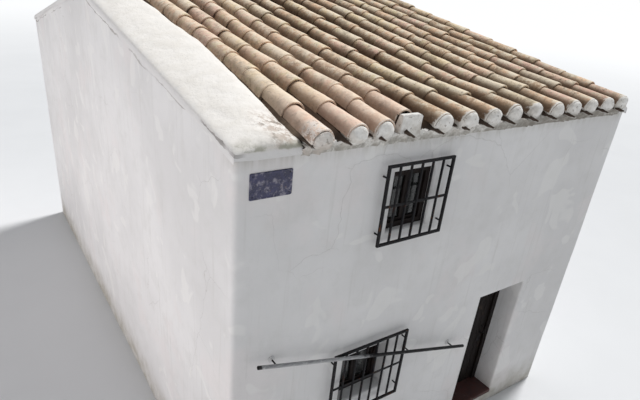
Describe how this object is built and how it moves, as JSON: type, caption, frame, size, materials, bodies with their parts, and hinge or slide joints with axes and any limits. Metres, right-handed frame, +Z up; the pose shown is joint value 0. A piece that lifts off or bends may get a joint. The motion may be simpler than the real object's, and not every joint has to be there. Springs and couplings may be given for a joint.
{
  "type": "adobe house",
  "caption": "White-washed earth-walled village house with a low barrel-tile roof, iron window guards, a plank door and a wall handrail.",
  "frame": {"origin": "middle of the footprint at the lowest ground", "axes": "+X along the front from the lane side, +Y from the front into the house, +Z up"},
  "size_m": [5.024, 8.826, 5.0241],
  "materials": {
    "white_plaster": "lime-washed, hand-smoothed",
    "mortar_band": "lime mortar, rough",
    "floor_screed": "trowelled",
    "old_wood": "bare, weathered",
    "deck_earth": "earth over cane",
    "roof_tile": "weathered, lichen",
    "red_step": "worn",
    "door_wood": "old dark paint",
    "window_wood": "old paint",
    "black_iron": "painted black",
    "glass": "old clear",
    "tube_steel": "grey paint, worn",
    "navy_enamel": "enamel"
  },
  "bodies": {
    "house": {"front_wall_upper": "white_plaster", "front_wall_lower": "white_plaster", "front_wall_pier": "white_plaster", "door_footing": "white_plaster", "lane_wall": "white_plaster", "right_wall": "white_plaster", "back_wall": "white_plaster", "ground_floor": "floor_screed", "upper_floor": "old_wood", "floor_poles": "old_wood", "ridge_pole": "old_wood", "front_purlins": "old_wood", "back_purlins": "old_wood", "front_deck": "deck_earth", "back_deck": "deck_earth", "front_tiles": "roof_tile", "back_tiles": "roof_tile", "ridge_tiles": "roof_tile", "lane_cap_front": "mortar_band", "lane_cap_back": "mortar_band", "right_cap_front": "mortar_band", "right_cap_back": "mortar_band", "threshold": "red_step", "door_frame": "door_wood", "door_pintles": "black_iron", "upper_window_frame": "window_wood", "upper_casements": "window_wood", "lower_window_frame": "window_wood", "lower_casements": "window_wood", "back_window_frame": "window_wood", "back_casements": "window_wood", "window_glass": "glass", "upper_grille": "black_iron", "lower_grille": "black_iron", "back_grille": "black_iron", "grille_stubs": "black_iron", "handrail": "tube_steel", "handrail_brackets": "black_iron", "street_plaque": "navy_enamel"},
    "door": {"door_leaf": "door_wood", "door_ledges": "door_wood", "door_straps": "black_iron", "door_pull": "black_iron", "lock_plate": "black_iron"}
  },
  "joints": [
    {"name": "door_hinge", "type": "hinge", "parent": "house", "child": "door", "pos_m": [0.7625, -3.89595, 0.213], "axis": [0, 0, 1], "range_deg": [0, 100]}
  ]
}
